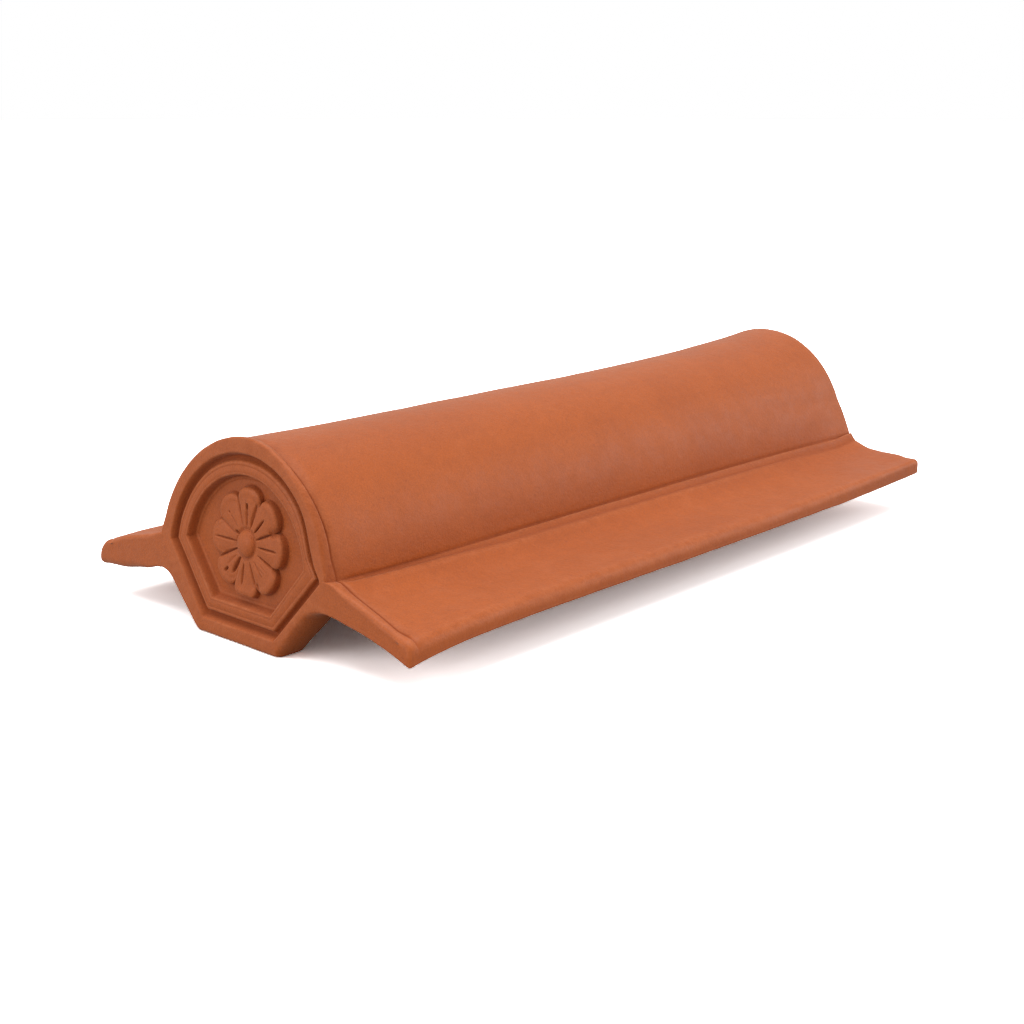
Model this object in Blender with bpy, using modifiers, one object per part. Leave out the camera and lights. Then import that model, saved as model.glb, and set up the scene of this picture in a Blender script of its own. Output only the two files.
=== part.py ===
"""Decorative ridge end tile: a half-round clay ridge tile with flat side wings,
a flared rear end and a thick front plate that carries a panel with a rosette.

Metres, +Z up. The tile runs along Y, its decorated face looks along -Y, and it stands
on the flat bottom of its front plate and on the two feet of its rear web. The origin
is on the floor, under the middle of the tile.
"""

import math

import bmesh
import bpy
from mathutils import Matrix

# ---------------------------------------------------------------- driving dimensions
PANEL_R = 0.0540             # radius of the arch at the inner edge of the face's rim
SLANT_D = 0.0386             # from the arch centre to the slanted lower sides, at the rim
SLANT_ANGLE = math.radians(50.6)   # those sides' rise from the floor
BOTTOM_D = 0.0284            # from the arch centre down to the panel's bottom, at the rim
RIM_W = 0.0076               # width of the flat rim round the panel
FACE_LEAN = math.radians(6.2)      # the face leans back by this at its top

PLATE_T = 0.0160             # thickness of the front plate
PLATE_BACK_SOFT = 0.0050     # rounding of its back edge
PLATE_FRONT_SOFT = 0.0018    # rounding of its front edge
PLATE_LIP_T = 0.0052         # depth of the part of the plate that stands proud of the barrel
GROOVE_W = 0.0040            # groove inside the rim
GROOVE_DEPTH = 0.0038
BAND_W = 0.0062              # raised band inside the groove
BAND_DEPTH = 0.0014          # the band lies this far below the rim
FIELD_DEPTH = 0.0065         # the sunk field lies this far below the rim
FIELD_FLOOR_BURY = 0.0010    # the rosette's root goes this far below the field
ARRIS = 0.0005               # softening of the mouldings' edges

ROSETTE_UP = 0.0119          # rosette centre above the arch centre
ROSETTE_TIP_R = 0.0267       # to the tips of the petals
ROSETTE_NOTCH_R = 0.0216     # to the notches between them
ROSETTE_RELIEF = 0.0034      # height of the petals above the field
PETALS = 8
BOSS_R = 0.0070
BOSS_RELIEF = 0.0041
GAP_W = 0.0011               # groove between two petals
GAP_DEPTH = 0.0022
CREASE_W = 0.0009            # crease along the middle of a petal
CREASE_DEPTH = 0.0013
CREASE_END = 0.72            # where the crease ends, as a share of the petal's reach
SPOKE_NARROW = 0.3           # width of a slot's inner end, as a share of its outer end
PETAL_SOFT = 0.0008          # rounding of the petals' upper edges

LENGTH = 0.4455              # from the face, at the arch centre, to the rear end
BARREL_R = 0.0594            # outside radius of the half-round barrel
BARREL_FOOT_Z = 0.0094       # the round of the barrel ends this high above the arch centre
WALL_T = 0.0097              # wall of the barrel
BELL_WALL_T = 0.0080         # wall at the flared rear end
BELL_START = 0.1940          # the flare begins this far behind the face
BELL_RISE = 0.0077           # rise of the crown at the rear end
BELL_SPREAD = 0.0014         # sideways growth there
FOOT_SPREAD = 0.0045         # further growth of the barrel's foot there
FOOT_TOP_Z = 0.0270          # that growth starts at this height above the arch centre
FOOT_POWER = 1.3             # how it gathers towards the foot
BELL_POWER = 3               # how late and how fast the rear end opens

WING_HALF = 0.1154           # half of the width over the wings
WING_T = 0.0086              # thickness at the wings' outer edges
WING_CORNER_R = 0.0050       # rounding of the wings' front corners, seen from above
WING_SOFT = 0.0016           # rounding of the wings' outer edges
WING_ROOT_X = 0.0626         # line where barrel and wing meet
FRONT_ROOT_Z = 0.0061        # height there, above the arch centre, at the face
FRONT_SLOPE = 0.273          # fall of the wing at the face
FRONT_SAG = 1.20             # its extra fall, per metre of width squared
WING_LEVEL = -0.0060         # height of the flat outer part of the wing, near the face
WING_FALL = -0.0050          # fall of that level for each metre of length
WING_LIFT = 0.0035           # its late rise towards the rear end
WING_FOOT = 0.0120           # rise from that level to the root
WING_FADE = 0.0081           # width over which that rise fades out
DROOP_FADE = 0.0230          # the face's wing shape fades out over this length
UNDER_ROOT_Z = -0.0093       # underside at the root, at the face
UNDER_ROOT_DROP = 0.0018     # it lies this much lower at the rear
UNDER_POWER = 1.7            # how the underside bends down to the outer edge
INNER_CORNER = 0.0050        # rounding between the barrel's inside and the wing's underside

NOTCH_FILLET_R = 0.0238      # concave fillet between the wing and the plate's slant
WEB_BACK = 0.3850            # rear face of the rear web, behind the face
WEB_T = 0.0120
WEB_OPENING_HALF = 0.0180    # half width of the arched opening in the web
WEB_OPENING_UP = 0.0020      # its springing line, above the arch centre
WEB_BURY = 0.0049            # the web's round edge goes this far into the barrel's wall
WEB_ARCH_STEPS = 12          # facets of the opening's round top
NOTCH_STEPS = 7              # facets of the concave fillet
OVERLAP = 0.0100             # how far joined shapes reach into each other where there's room

ARC_STEPS = 28               # facets round half a circle
PETAL_STEPS = 8              # facets round each petal's tip
FRONT_STATIONS = (0.0, 0.0012, 0.0028, 0.0050, 0.0105, 0.0200, 0.0350, 0.0600)
WING_TOP_SHARES = (0.06, 0.14, 0.26, 0.45, 0.70, 0.92)      # points across the wing
WING_UNDER_SHARES = (0.85, 0.62, 0.40, 0.20, 0.03)
REAR_STEPS = 10              # sections from there to the rear end, closer together there
SET_BACK = 0.0003            # the barrel starts this far behind the plate's face
CROSSING = 0.0001            # joined shapes cross by this instead of just touching

CLAY_COLOUR = (0.515, 0.150, 0.058, 1.0)
CLAY_ROUGHNESS = 0.62

# ---------------------------------------------------------------- worked-out sizes
AXIS_Z = BOTTOM_D + RIM_W                       # arch centre above the floor
LEAN = math.tan(FACE_LEAN)
FRONT_REACH = (AXIS_Z - PLATE_FRONT_SOFT) * LEAN    # the leaning face's lowest, foremost edge
MIDDLE_Y = (LENGTH - FRONT_REACH) / 2.0         # middle of the overall length
SLANT_X = math.sin(SLANT_ANGLE)                 # outward normal of the slanted sides
SLANT_Z = -math.cos(SLANT_ANGLE)


# ---------------------------------------------------------------- helpers
def clear_scene():
    """Remove every object, and leave the file's other data alone."""
    for item in list(bpy.data.objects):
        bpy.data.objects.remove(item, do_unlink=True)


def new_collection(name):
    collection = bpy.data.collections.new(name)
    bpy.context.scene.collection.children.link(collection)
    return collection


def clay_material():
    material = bpy.data.materials.new("Fired clay")
    material.use_nodes = True
    shader = material.node_tree.nodes["Principled BSDF"]
    shader.inputs["Base Color"].default_value = CLAY_COLOUR
    shader.inputs["Roughness"].default_value = CLAY_ROUGHNESS
    shader.inputs["Metallic"].default_value = 0.0
    material.diffuse_color = CLAY_COLOUR
    return material


def finish_mesh(name, mesh_builder, collection):
    """Weld, orient and smooth a bmesh, and put it in the scene as an object."""
    bmesh.ops.remove_doubles(mesh_builder, verts=mesh_builder.verts, dist=1e-6)
    bmesh.ops.recalc_face_normals(mesh_builder, faces=mesh_builder.faces)
    mesh = bpy.data.meshes.new(name)
    mesh_builder.to_mesh(mesh)
    mesh_builder.free()
    mesh.shade_smooth()
    mesh.set_sharp_from_angle(angle=math.radians(30))
    item = bpy.data.objects.new(name, mesh)
    collection.objects.link(item)
    return item


def to_floor_frame():
    """From the working frame (zero at the arch centre on the face) to the tile's own."""
    return Matrix.Translation((0.0, -MIDDLE_Y, AXIS_Z))


def loft(name, sections, collection):
    """Closed solid through sections that all have the same number of points."""
    mesh_builder = bmesh.new()
    rings = [[mesh_builder.verts.new(point) for point in section] for section in sections]
    count = len(rings[0])
    for ring, following in zip(rings, rings[1:]):
        for index in range(count):
            after = (index + 1) % count
            mesh_builder.faces.new((ring[index], ring[after],
                                    following[after], following[index]))
    mesh_builder.faces.new(rings[0])
    mesh_builder.faces.new(rings[-1])
    bmesh.ops.transform(mesh_builder, matrix=to_floor_frame(), verts=mesh_builder.verts)
    return finish_mesh(name, mesh_builder, collection)


def slab(name, outline, front, back, lean, collection):
    """A flat outline in X and Z with a thickness along Y, leaning back if asked."""
    curve = bpy.data.curves.new(name + "_outline", "CURVE")
    curve.dimensions = "2D"
    curve.fill_mode = "BOTH"
    curve.extrude = (back - front) / 2.0
    spline = curve.splines.new("POLY")
    spline.points.add(len(outline) - 1)
    for point, (x, z) in zip(spline.points, outline):
        point.co = (x, z, 0.0, 1.0)
    spline.use_cyclic_u = True
    drawing = bpy.data.objects.new(name + "_outline", curve)
    drawing.location = (0.0, (front + back) / 2.0, 0.0)
    drawing.rotation_euler = (math.radians(90), 0.0, 0.0)
    collection.objects.link(drawing)
    bpy.context.view_layer.update()
    evaluated = drawing.evaluated_get(bpy.context.evaluated_depsgraph_get())
    mesh = bpy.data.meshes.new_from_object(evaluated)
    mesh.transform(drawing.matrix_world)
    bpy.data.objects.remove(drawing, do_unlink=True)
    mesh_builder = bmesh.new()
    mesh_builder.from_mesh(mesh)
    bpy.data.meshes.remove(mesh)
    if lean:
        for vert in mesh_builder.verts:
            vert.co.y += vert.co.z * LEAN
    bmesh.ops.transform(mesh_builder, matrix=to_floor_frame(), verts=mesh_builder.verts)
    return finish_mesh(name, mesh_builder, collection)


def combine(target, tool, operation):
    """Join the tool to the target or cut the target with it, and keep the tool as a guide."""
    tool.hide_render = True
    tool.display_type = "WIRE"
    step = target.modifiers.new(tool.name, "BOOLEAN")
    step.operation = operation
    step.solver = "EXACT"
    step.object = tool


# ---------------------------------------------------------------- outlines
def panel_outline(arc_radius, slant_distance, bottom_distance):
    """Arched panel: a round top, slanted lower sides and a flat bottom."""
    half_chord = math.sqrt(arc_radius ** 2 - slant_distance ** 2)
    shoulder_x = slant_distance * SLANT_X + half_chord * math.cos(SLANT_ANGLE)
    shoulder_z = slant_distance * SLANT_Z + half_chord * math.sin(SLANT_ANGLE)
    start = math.atan2(shoulder_z, shoulder_x)
    sweep = math.pi - 2.0 * start
    points = []
    for step in range(ARC_STEPS + 1):
        angle = start + sweep * step / ARC_STEPS
        points.append((arc_radius * math.cos(angle), arc_radius * math.sin(angle)))
    corner_x = (slant_distance + bottom_distance * SLANT_Z) / SLANT_X
    points.append((-corner_x, -bottom_distance))
    points.append((corner_x, -bottom_distance))
    return points


def panel_ring(grow, depth, arc_radius=None):
    """One ring of the front plate: the panel outline grown outwards, at a depth."""
    radius = arc_radius or PANEL_R + grow
    outline = panel_outline(radius, SLANT_D + grow, BOTTOM_D + grow)
    return [(x, depth + z * LEAN, z) for x, z in outline]


def rosette_outline():
    """Eight rounded petals round the rosette's centre."""
    points = []
    for petal in range(PETALS):
        for step in range(PETAL_STEPS):
            across = 2.0 * step / PETAL_STEPS - 1.0
            angle = (petal + across / 2.0) * math.tau / PETALS
            swell = math.sqrt(max(0.0, 1.0 - across ** 2))
            radius = ROSETTE_NOTCH_R + (ROSETTE_TIP_R - ROSETTE_NOTCH_R) * swell
            points.append((radius * math.cos(angle), ROSETTE_UP + radius * math.sin(angle)))
    return points


def spoke_outline(angle, start, end, width):
    """A narrow straight slot that runs out from the rosette's centre."""
    along = (math.cos(angle), math.sin(angle))
    across = (-along[1], along[0])
    points = []
    for reach, side in ((start, -SPOKE_NARROW), (end, -1.0), (end, 1.0), (start, SPOKE_NARROW)):
        x = reach * along[0] + side * width / 2.0 * across[0]
        z = reach * along[1] + side * width / 2.0 * across[1]
        points.append((x, ROSETTE_UP + z))
    return points


# ---------------------------------------------------------------- the tile's section
def wing_top(x, y):
    """Top of the wing above the arch centre, x from the middle and y from the face."""
    from_root = x - WING_ROOT_X
    at_face = FRONT_ROOT_Z - FRONT_SLOPE * from_root - FRONT_SAG * from_root ** 2
    level = WING_LEVEL + WING_FALL * y + WING_LIFT * (y / LENGTH) ** 6
    further_back = level + WING_FOOT * math.exp(-from_root / WING_FADE)
    settled = 1.0 - math.exp(-y / DROOP_FADE)
    return at_face * (1.0 - settled) + further_back * settled


def wing_under(x, y):
    """Underside of the wing."""
    root = UNDER_ROOT_Z - UNDER_ROOT_DROP * y / LENGTH
    edge = wing_top(WING_HALF, y) - WING_T
    share = max(0.0, (x - WING_ROOT_X) / (WING_HALF - WING_ROOT_X))
    return root + (edge - root) * share ** UNDER_POWER


def bell(y):
    """How far the rear flare has opened, from 0 to 1."""
    return max(0.0, (y - BELL_START) / (LENGTH - BELL_START)) ** BELL_POWER


def wing_reach(y):
    """Half width over the wings, less at their rounded front corners."""
    short = min(0.95, max(0.0, 1.0 - y / WING_CORNER_R))
    return WING_HALF - WING_CORNER_R * (1.0 - math.sqrt(1.0 - short ** 2))


def half_section(y):
    """Right half of the tile's section: over the outside, round the edge, back inside."""
    reach = wing_reach(y)
    half_width = BARREL_R + BELL_SPREAD * bell(y)
    height = BARREL_R + BELL_RISE * bell(y)
    wall = WALL_T + (BELL_WALL_T - WALL_T) * bell(y)
    points = []
    foot_angle = math.asin(BARREL_FOOT_Z / height)
    arc_steps = ARC_STEPS // 2
    for step in range(arc_steps + 1):
        angle = math.pi / 2 + (foot_angle - math.pi / 2) * step / arc_steps
        z = height * math.sin(angle)
        foot = max(0.0, 1.0 - z / FOOT_TOP_Z) ** FOOT_POWER
        x = half_width * math.cos(angle) + FOOT_SPREAD * bell(y) * foot
        points.append((x, z))
    points.append((WING_ROOT_X, wing_top(WING_ROOT_X, y)))
    for share in WING_TOP_SHARES:
        x = WING_ROOT_X + (reach - WING_ROOT_X) * share
        points.append((x, wing_top(x, y)))
    edge_top = wing_top(WING_HALF, y)
    points.append((reach - WING_SOFT * 0.6, edge_top - WING_SOFT * 0.5))
    points.append((reach, edge_top - WING_SOFT * 2.0))
    points.append((reach, edge_top - WING_T + WING_SOFT))
    points.append((reach - WING_SOFT, edge_top - WING_T))
    for share in WING_UNDER_SHARES:
        x = WING_ROOT_X + (reach - WING_ROOT_X) * share
        points.append((x, wing_under(x, y)))
    inner_width = half_width - wall
    inner_height = height - wall
    under = wing_under(WING_ROOT_X, y)
    points.append((inner_width + INNER_CORNER, under + INNER_CORNER * 0.2))
    points.append((inner_width + INNER_CORNER * 0.25, under + INNER_CORNER * 0.9))
    inner_steps = arc_steps - 2
    for step in range(inner_steps + 1):
        angle = math.pi / 2 * step / inner_steps
        points.append((inner_width * math.cos(angle), inner_height * math.sin(angle)))
    return points


def full_section(y):
    """Closed section, y behind the face. It leans with the face at the front."""
    share = (y - SET_BACK) / (LENGTH - SET_BACK)
    half = half_section(y)
    mirrored = [(-x, z) for x, z in half[1:-1]]
    loop = half + mirrored[::-1]
    return [(x, y + z * LEAN * (1.0 - share), z) for x, z in loop]


# ---------------------------------------------------------------- the pieces
def build_barrel(collection):
    stations = [SET_BACK + y for y in FRONT_STATIONS]
    start = stations[-1]
    for step in range(1, REAR_STEPS + 1):
        share = math.sin(math.pi / 2 * step / REAR_STEPS)
        stations.append(start + (LENGTH - start) * share)
    return loft("ridge_tile", [full_section(y) for y in stations], collection)


def build_plate(collection):
    """Front plate with its rim, groove, band and sunk field in one loft."""
    buried = BARREL_R - 0.0015
    groove_in = -GROOVE_W
    band_in = groove_in - BAND_W
    soft = PLATE_BACK_SOFT
    rings = [
        panel_ring(RIM_W - soft, PLATE_T, buried - soft),
        panel_ring(RIM_W - soft * 0.3, PLATE_T - soft * 0.3, buried - soft * 0.3),
        panel_ring(RIM_W, PLATE_T - soft, buried),
        panel_ring(RIM_W, PLATE_LIP_T, buried),
        panel_ring(RIM_W, PLATE_LIP_T - ARRIS, PANEL_R + RIM_W - 0.0010),
        panel_ring(RIM_W, PLATE_FRONT_SOFT),
        panel_ring(RIM_W - PLATE_FRONT_SOFT * 0.3, PLATE_FRONT_SOFT * 0.3),
        panel_ring(RIM_W - PLATE_FRONT_SOFT, 0.0),
        panel_ring(ARRIS, 0.0),
        panel_ring(0.0, ARRIS),
        panel_ring(-ARRIS, GROOVE_DEPTH),
        panel_ring(groove_in + ARRIS, GROOVE_DEPTH),
        panel_ring(groove_in, BAND_DEPTH + ARRIS),
        panel_ring(groove_in - ARRIS, BAND_DEPTH),
        panel_ring(band_in + ARRIS, BAND_DEPTH),
        panel_ring(band_in, BAND_DEPTH + ARRIS),
        panel_ring(band_in - ARRIS, FIELD_DEPTH),
    ]
    return loft("front_plate", rings, collection)


def build_notch_fillet(side, collection):
    """Web of clay with a concave edge that fills the notch under one wing's front."""
    corner_z = UNDER_ROOT_Z + SET_BACK
    slant = SLANT_D + RIM_W
    corner_x = (slant - corner_z * SLANT_Z) / SLANT_X
    tangent = NOTCH_FILLET_R * math.tan(SLANT_ANGLE / 2.0)
    centre_x = corner_x + tangent
    centre_z = corner_z - NOTCH_FILLET_R
    low_x = corner_x - tangent * math.cos(SLANT_ANGLE)
    low_z = corner_z - tangent * math.sin(SLANT_ANGLE)
    outline = [(centre_x, 0.0), (corner_x - OVERLAP, 0.0)]
    outline.append((low_x - OVERLAP, low_z))
    radius = NOTCH_FILLET_R - CROSSING
    for step in range(NOTCH_STEPS + 1):
        angle = math.pi / 2 + SLANT_ANGLE * (1.0 - step / NOTCH_STEPS)
        x = centre_x + radius * math.cos(angle)
        z = centre_z + radius * math.sin(angle)
        outline.append((x, z))
    outline = [(side * x, z) for x, z in outline]
    name = "notch_fillet_" + ("right" if side > 0 else "left")
    return slab(name, outline, SET_BACK * 2.0, PLATE_T - SET_BACK * 3.0, True, collection)


def build_rear_web(collection):
    """Cross web inside the barrel, cut like the front plate, with an arched opening."""
    inside = BARREL_R - WALL_T
    outer = panel_outline(inside + WEB_BURY, SLANT_D + RIM_W, AXIS_Z)
    outline = outer[:-1]
    outline.append((-WEB_OPENING_HALF, -AXIS_Z))
    for step in range(WEB_ARCH_STEPS + 1):
        angle = math.pi * (1.0 - step / WEB_ARCH_STEPS)
        x = WEB_OPENING_HALF * math.cos(angle)
        outline.append((x, WEB_OPENING_UP + WEB_OPENING_HALF * math.sin(angle)))
    outline.append((WEB_OPENING_HALF, -AXIS_Z))
    outline.append(outer[-1])
    return slab("rear_web", outline, WEB_BACK - WEB_T, WEB_BACK, False, collection)


def build_rosette(collection):
    top = FIELD_DEPTH - ROSETTE_RELIEF
    root = FIELD_DEPTH + FIELD_FLOOR_BURY
    rosette = slab("rosette", rosette_outline(), top, root, True, collection)
    edge = rosette.modifiers.new("Soft petal edges", "BEVEL")
    edge.width = PETAL_SOFT
    edge.segments = 2
    edge.limit_method = "ANGLE"
    edge.angle_limit = math.radians(60)
    for petal in range(PETALS):
        axis = petal * math.tau / PETALS
        gap = spoke_outline(axis + math.pi / PETALS, BOSS_R * 0.8, ROSETTE_TIP_R, GAP_W)
        gap_cut = slab("petal_gap_%d" % petal, gap, 0.0, top + GAP_DEPTH, True, collection)
        combine(rosette, gap_cut, "DIFFERENCE")
        crease = spoke_outline(axis, BOSS_R * 1.3, ROSETTE_TIP_R * CREASE_END, CREASE_W)
        crease_cut = slab("petal_crease_%d" % petal, crease, 0.0, top + CREASE_DEPTH,
                          True, collection)
        combine(rosette, crease_cut, "DIFFERENCE")
    return rosette


def build_boss(collection):
    """Domed button in the middle of the rosette."""
    mesh_builder = bmesh.new()
    bmesh.ops.create_uvsphere(mesh_builder, u_segments=24, v_segments=12, radius=BOSS_R)
    centre_y = FIELD_DEPTH + ROSETTE_UP * LEAN
    squash = Matrix.Diagonal((1.0, BOSS_RELIEF / BOSS_R, 1.0, 1.0))
    turn = Matrix.Rotation(math.radians(90), 4, "X")
    place = Matrix.Translation((0.0, centre_y, ROSETTE_UP))
    matrix = to_floor_frame() @ place @ squash @ turn
    bmesh.ops.transform(mesh_builder, matrix=matrix, verts=mesh_builder.verts)
    return finish_mesh("rosette_boss", mesh_builder, collection)


def build_tile():
    clear_scene()
    parts = new_collection("ridge_tile_parts")
    guides = new_collection("ridge_tile_guides")
    tile = build_barrel(parts)
    tile.data.materials.append(clay_material())
    combine(tile, build_plate(guides), "UNION")
    for side in (-1.0, 1.0):
        combine(tile, build_notch_fillet(side, guides), "UNION")
    combine(tile, build_rear_web(guides), "UNION")
    combine(tile, build_rosette(guides), "UNION")
    combine(tile, build_boss(guides), "UNION")


build_tile()
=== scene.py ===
from math import asin, atan2, cos, exp, hypot, pi, radians, sin, sqrt, tan, tau
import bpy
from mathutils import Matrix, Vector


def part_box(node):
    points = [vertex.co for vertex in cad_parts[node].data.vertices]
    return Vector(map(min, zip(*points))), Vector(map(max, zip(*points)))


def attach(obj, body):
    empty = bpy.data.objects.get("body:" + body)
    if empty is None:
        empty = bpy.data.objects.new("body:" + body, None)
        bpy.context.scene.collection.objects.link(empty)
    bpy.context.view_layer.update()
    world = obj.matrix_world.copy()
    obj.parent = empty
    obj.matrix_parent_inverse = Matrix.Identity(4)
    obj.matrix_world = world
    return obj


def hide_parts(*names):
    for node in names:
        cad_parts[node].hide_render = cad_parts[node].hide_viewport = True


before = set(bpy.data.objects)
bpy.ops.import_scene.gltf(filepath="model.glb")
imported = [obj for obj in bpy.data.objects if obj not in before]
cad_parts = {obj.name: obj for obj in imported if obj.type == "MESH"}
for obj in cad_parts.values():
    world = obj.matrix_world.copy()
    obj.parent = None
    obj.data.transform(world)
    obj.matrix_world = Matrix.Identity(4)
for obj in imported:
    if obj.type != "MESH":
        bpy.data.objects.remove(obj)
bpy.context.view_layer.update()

from types import SimpleNamespace

import bmesh
import bpy
import numpy as np
from mathutils import Vector, noise

bl_info = {
    "name": "Decorative Ridge End Tile",
    "version": (1, 0, 0),
    "blender": (4, 5, 0),
    "location": "3D View > Sidebar > Ridge Tile",
    "description": "Builds a fired clay ridge end tile with wings, a flared end and a "
                   "rosette panel",
    "category": "Add Mesh",
}

LOW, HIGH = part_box("ridge_tile")
BODY = "root"
NODE = "ridge_tile"

# How many columns of points each stretch of the outline gets, for one half of the tile
ARCH_COLUMNS = 104
JOINT_COLUMNS = 14
TOP_COLUMNS = 34
EDGE_COLUMNS = 20
UNDER_COLUMNS = JOINT_COLUMNS + TOP_COLUMNS
LOWER_COLUMNS = 68
LENGTH_STATIONS = 58

# Rings round the front edge and on the petals, and the petals themselves
FRONT_TURNS = 7
PETAL_RINGS = 40
PETALS = 8

# Where the wing's edge turns, as shares of its columns
EDGE_HIGH_END = 0.45
EDGE_LOW_START = 0.75
# Where the plate's lower line turns, as shares of its columns
FILLET_END = 0.22
SLANT_END = 0.45
CORNER_END = 0.55
# Where the inside of the barrel turns, as shares of the same columns
INNER_FLAT_END = 0.10
INNER_CORNER_END = 0.22
INNER_WALL_END = 0.27
# How far down the panel's slants the wings' ends reach
PANEL_ROOT = 0.24

# Metres: the scored line behind the face at the wing's root, the flat field round the
# rosette's centre, and the rounding of the rear end
LINE_BACK = 0.0062
FIELD_REACH = 0.0284
REAR_ROUND = 0.0014
# The scored line's rings end this far behind the face, and the next ones are this far apart
FRONT_END = 0.0096
RING_STEP = 0.0012
# The rear web: steps over its arch and up each leg, how far it beds into the barrel's wall,
# and the rounding of its opening
WEB_ARCH, WEB_LEG = 40, 12
WEB_BEDDING, WEB_SOFT = 0.0049, 0.0012
# How much painted shade the panel's grooves get, and how deep a stroke must cut to be fully shaded
PANEL_SHADE = 0.6
FULL_SHADE_DEPTH = 0.0013
# Rings across the scored line, from front to back: how much of the rim's step is gone, how deep
# the line is, how far the ring lies from the line's place, and how much painted shade it gets
SCORED = ((0.0, 0.0, -0.0005, 0.3), (0.35, 0.15, -0.0001, 0.8), (1.0, 1.0, 0.0004, 1.0),
          (1.0, 0.55, 0.0008, 0.9), (1.0, 0.0, 0.0014, 0.3))

# Lights: share of the key light's strength, spread and turn in degrees
LIGHTS = (("key_light", 1.0, 60.0, (6.0, 0.0, -70.0)),
          ("side_light", 0.46, 50.0, (84.0, 0.0, 84.0)),
          ("back_light", 0.35, 30.0, (66.0, 0.0, 141.0)),
          ("front_light", 0.54, 45.0, (74.0, 0.0, -24.0)))


# -------- sizes and colours
def metres(label, text, default):
    return bpy.props.FloatProperty(name=label, description=text, default=default, min=0.0,
                                   precision=4, unit="LENGTH")


def in_degrees(label, text, angle):
    return bpy.props.FloatProperty(name=label, description=text, default=radians(angle),
                                   unit="ROTATION")


def fraction(label, text, default):
    return bpy.props.FloatProperty(name=label, description=text, default=default, min=0.0,
                                   max=1.0, subtype="FACTOR")


def colour_property(label, text, default):
    return bpy.props.FloatVectorProperty(name=label, description=text, default=default, size=3,
                                         min=0.0, max=1.0, subtype="COLOR")


class RidgeTileSizes(bpy.types.PropertyGroup):
    length: metres("Length", "From the face to the rear end", 0.4455)
    barrel_radius: metres("Barrel radius", "Outside of the half-round barrel", 0.0594)
    barrel_foot: metres("Barrel foot", "The round ends this high above its centre", 0.0034)
    wall: metres("Wall", "Wall of the barrel", 0.0097)
    bell_wall: metres("Wall at the flare", "Wall at the rear end", 0.0080)
    bell_start: metres("Flare start", "The flare begins this far behind the face", 0.1940)
    bell_rise: metres("Flare rise", "Rise of the crown at the rear end", 0.0077)
    bell_spread: metres("Flare spread", "Growth to each side there", 0.0014)
    foot_spread: metres("Foot spread", "Further growth of the barrel's foot", 0.0070)
    foot_top: metres("Foot spread top", "That growth starts at this height", 0.0270)
    wing_half: metres("Half width", "From the middle to a wing's edge", 0.1154)
    wing_thickness: metres("Wing thickness", "At the wings' outer edges", 0.0086)
    wing_root: metres("Wing root", "Line where the wing's curve begins", 0.0626)
    wing_ledge: metres("Wing ledge", "The steep ledge at the barrel ends here", 0.0665)
    joint_width: metres("Joint width", "Tooled strip along the barrel's foot", 0.0036)
    wing_corner: metres("Wing corner", "Rounding of the front corners in plan", 0.0032)
    edge_round_top: metres("Upper edge round", "Rounding of the wing's edge", 0.0060)
    edge_round_low: metres("Lower edge round", "Rounding below that", 0.0014)
    lip_round: metres("Front lip round", "Rounding of the wings' front lip", 0.0026)
    rim_round: metres("Rim round", "Rounding of the rim's outer edge", 0.0026)
    line_depth: metres("Lip line depth", "Scored line behind the lip and rim", 0.0010)
    panel_radius: metres("Panel radius", "Arch at the rim's inner edge", 0.0540)
    rim_width: metres("Rim width", "Flat rim round the panel", 0.0076)
    slant_distance: metres("Slant distance", "Arch centre to the slants", 0.0386)
    slant_angle: in_degrees("Slant angle", "Rise of the slants from the floor", 50.6)
    bottom_distance: metres("Bottom distance", "Arch centre to the bottom", 0.0284)
    face_lean: in_degrees("Face lean", "The face leans back by this", 6.2)
    plate_thickness: metres("Plate thickness", "Thickness of the front plate", 0.0160)
    plate_back_round: metres("Plate back round", "Rounding of its back edge", 0.0030)
    notch_fillet: metres("Right notch fillet", "Hollow between wing and plate", 0.0200)
    notch_fillet_left: metres("Left notch fillet", "The same on the left", 0.0150)
    groove_depth: metres("Groove depth", "Groove inside the rim", 0.0038)
    band_depth: metres("Band depth", "Raised band below the rim", 0.0014)
    field_depth: metres("Field depth", "Sunk field below the rim", 0.0065)
    rosette_up: metres("Rosette height", "Its centre above the arch's", 0.0113)
    petal_tip: metres("Petal reach", "From the rosette's centre", 0.0268)
    petal_notch: metres("Petal notch", "To the notches between petals", 0.0206)
    petal_relief: metres("Petal relief", "Petals above the field", 0.0034)
    boss_radius: metres("Boss radius", "Button in the middle", 0.0062)
    boss_relief: metres("Boss relief", "Button above the petals", 0.0018)
    web_back: metres("Rear web", "Its rear face, behind the tile's face", 0.3850)
    web_thickness: metres("Web thickness", "Cross web inside the barrel", 0.0120)
    web_opening: metres("Web opening", "Half width of its arched opening", 0.0180)
    unevenness: metres("Unevenness", "Soft waves of the pressed clay", 0.00022)


class RidgeTileColours(bpy.types.PropertyGroup):
    clay: colour_property("Clay", "Fired clay", (0.352, 0.0730, 0.0080))
    # the dark clay is used for burnt patches and specks, and as painted shade in hollows and
    # creases
    dark_clay_and_shade: colour_property("Dark clay", "Hollows and burnt patches", (0.190, 0.031, 0.004))
    clay_pale: colour_property("Pale clay", "Rubbed edges and dusty places",
                               (0.430, 0.145, 0.062))
    underside: colour_property("Underside", "Rougher clay inside", (0.330, 0.090, 0.032))
    floor: colour_property("Floor", "Pale studio floor", (1.0, 0.985, 0.985))
    mottle: fraction("Mottling", "Strength of the uneven colour", 0.22)
    wear: fraction("Edge wear", "Strength of the rubbed edges", 0.55)


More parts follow.
